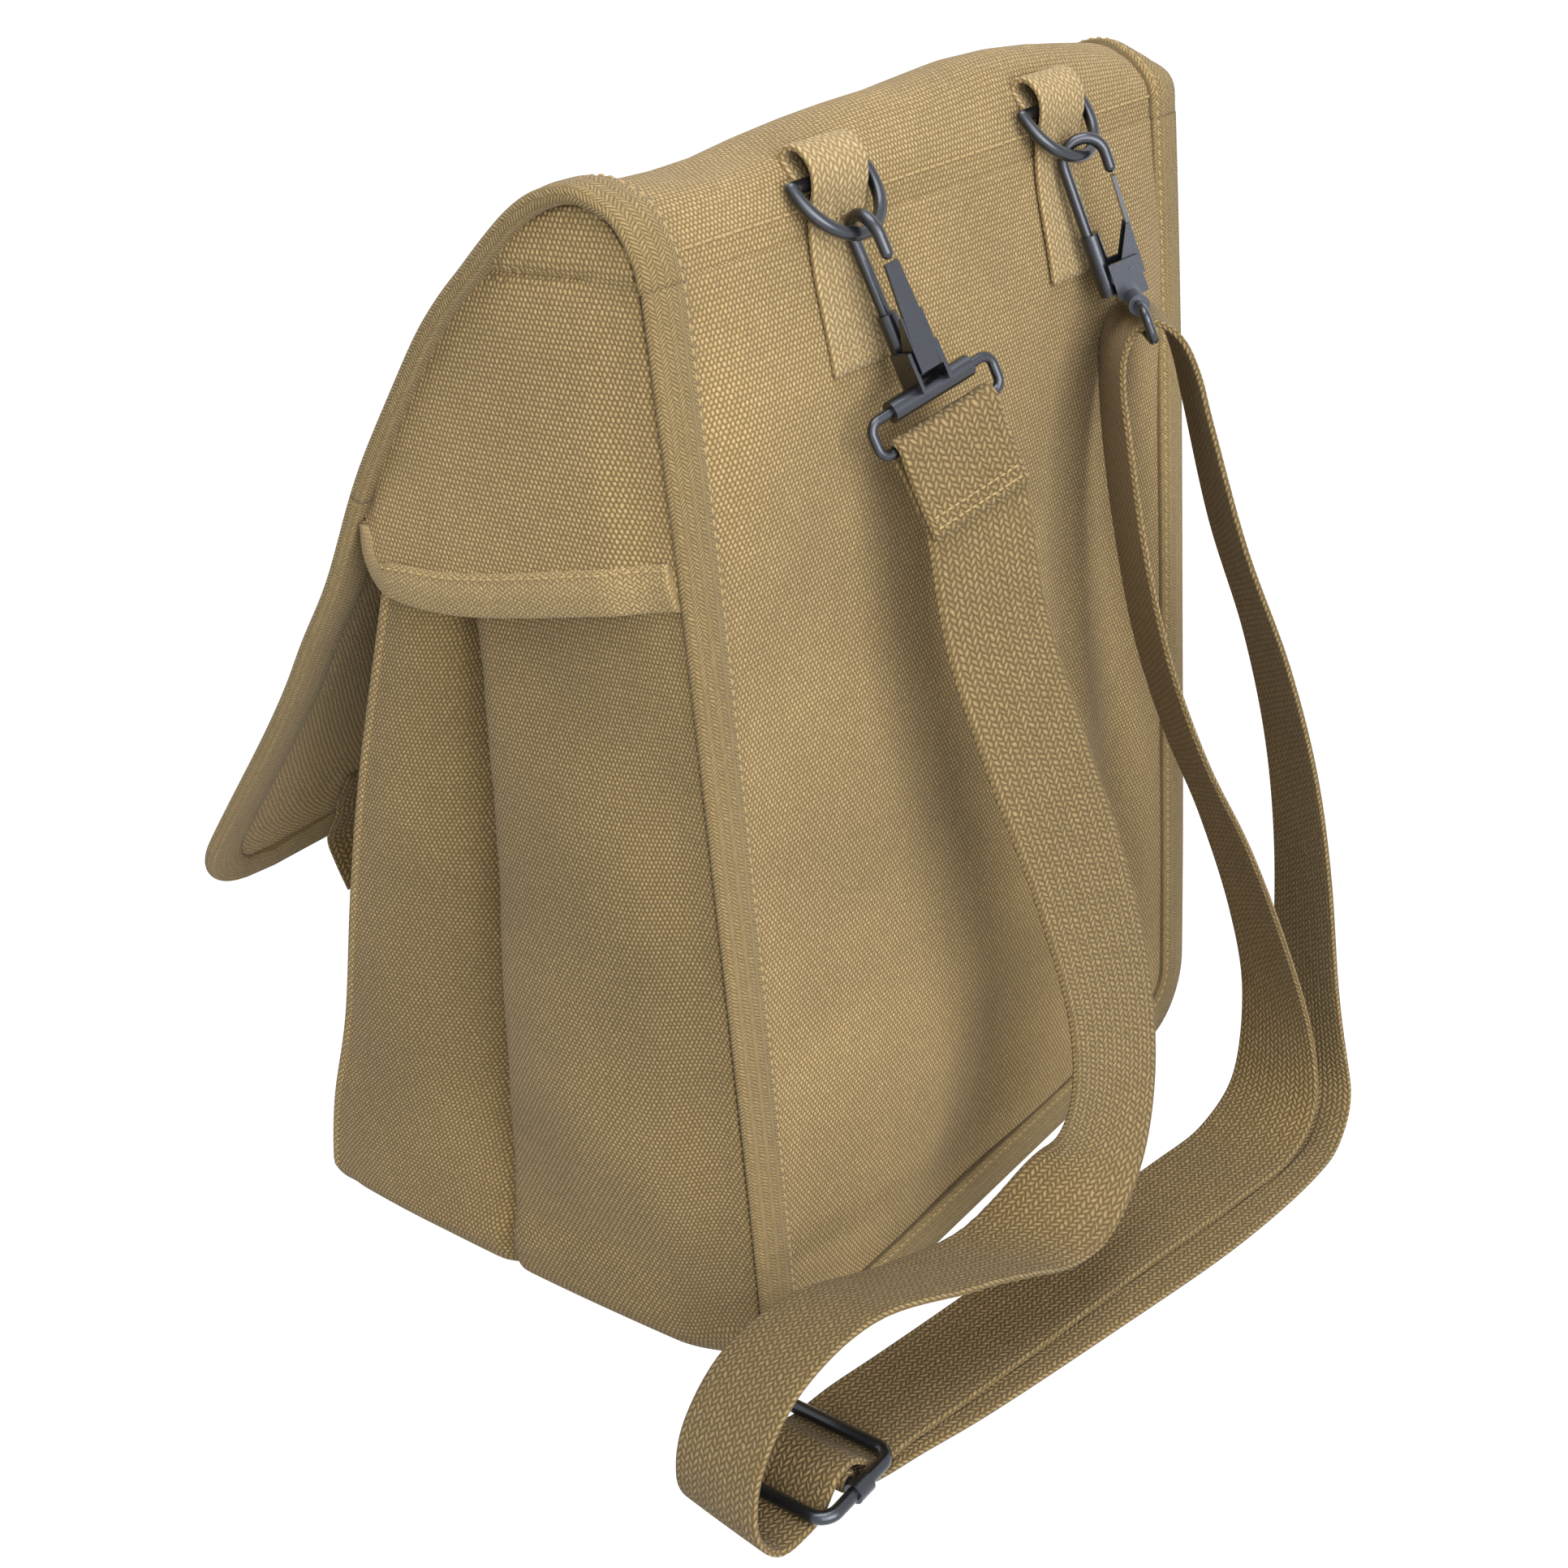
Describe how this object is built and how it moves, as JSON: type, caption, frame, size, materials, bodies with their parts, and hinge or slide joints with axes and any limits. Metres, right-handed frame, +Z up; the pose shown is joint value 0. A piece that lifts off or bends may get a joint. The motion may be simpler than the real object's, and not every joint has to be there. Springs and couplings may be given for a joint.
{
  "type": "messenger bag",
  "caption": "Canvas shoulder bag with a full flap, pleated gussets, side ears, ring tabs, snap hooks and a wide webbing strap with a wire slider.",
  "frame": {"origin": "on the ground under the middle of the bottom panel", "axes": "+Z up, the bag's front faces -Y and its back faces +Y, X runs along the width"},
  "size_m": [0.3508, 0.3502, 0.3991],
  "materials": {
    "canvas": "plain-weave khaki cotton canvas, matt",
    "binding_tape": "flat khaki cotton tape, ribbed, matt",
    "webbing": "herringbone khaki cotton webbing, matt",
    "metal": "dark gunmetal, semi-gloss"
  },
  "bodies": {
    "bag": {"back_panel": "canvas", "front_panel": "canvas", "bottom_panel": "canvas", "divider": "canvas", "gusset_left": "canvas", "gusset_right": "canvas", "back_binding": "binding_tape", "ear_left": "canvas", "ear_right": "canvas", "ear_hem_left": "binding_tape", "ear_hem_right": "binding_tape", "flap_yoke": "canvas", "tab_left": "webbing", "tab_right": "webbing", "hook_left": "metal", "hook_right": "metal", "hook_base_left": "metal", "hook_base_right": "metal", "gate_pin_left": "metal", "gate_pin_right": "metal", "loop_left": "metal", "loop_right": "metal", "strap_eye": "webbing", "strap": "webbing", "strap_end": "webbing", "slider_frame": "metal", "slider_bar": "metal", "chape_left": "webbing", "chape_right": "webbing"},
    "flap_upper": {"flap_upper": "canvas", "flap_edge_left": "binding_tape", "flap_edge_right": "binding_tape"},
    "flap_lower": {"flap_lower": "canvas", "flap_hem": "binding_tape", "closure_strap_left": "webbing", "closure_strap_right": "webbing"},
    "ring_left": {"ring_left": "metal"},
    "ring_right": {"ring_right": "metal"},
    "gate_left": {"gate_left": "metal"},
    "gate_right": {"gate_right": "metal"},
    "buckle_left": {"buckle_left": "metal"},
    "buckle_right": {"buckle_right": "metal"}
  },
  "joints": [
    {"name": "flap_crest", "type": "hinge", "parent": "bag", "child": "flap_upper", "pos_m": [0, 0.088, 0.3984], "axis": [-1, 0, 0], "range_deg": [0, 130]},
    {"name": "flap_bend", "type": "hinge", "parent": "flap_upper", "child": "flap_lower", "pos_m": [0, -0.047, 0.262], "axis": [-1, 0, 0], "range_deg": [0, 95]},
    {"name": "ring_left_swing", "type": "hinge", "parent": "bag", "child": "ring_left", "pos_m": [-0.06, 0.1084, 0.385], "axis": [1, 0, 0], "range_deg": [0, 3]},
    {"name": "ring_right_swing", "type": "hinge", "parent": "bag", "child": "ring_right", "pos_m": [0.06, 0.1084, 0.385], "axis": [1, 0, 0], "range_deg": [0, 3]},
    {"name": "gate_left_press", "type": "hinge", "parent": "bag", "child": "gate_left", "pos_m": [-0.06931, 0.13067, 0.33383], "axis": [0.766, 0.6428, 0], "range_deg": [0, 14], "stiffness_Nm_per_rad": 0.05, "springref_deg": -20.05},
    {"name": "gate_right_press", "type": "hinge", "parent": "bag", "child": "gate_right", "pos_m": [0.05402, 0.13265, 0.33382], "axis": [0.9187, -0.2985, -0.2588], "range_deg": [0, 14], "stiffness_Nm_per_rad": 0.05, "springref_deg": -20.05},
    {"name": "buckle_left_swing", "type": "hinge", "parent": "bag", "child": "buckle_left", "pos_m": [-0.078, -0.07569, 0.122], "axis": [-1, 0, 0], "range_deg": [0, 110]},
    {"name": "buckle_right_swing", "type": "hinge", "parent": "bag", "child": "buckle_right", "pos_m": [0.078, -0.07569, 0.122], "axis": [-1, 0, 0], "range_deg": [0, 110]}
  ]
}
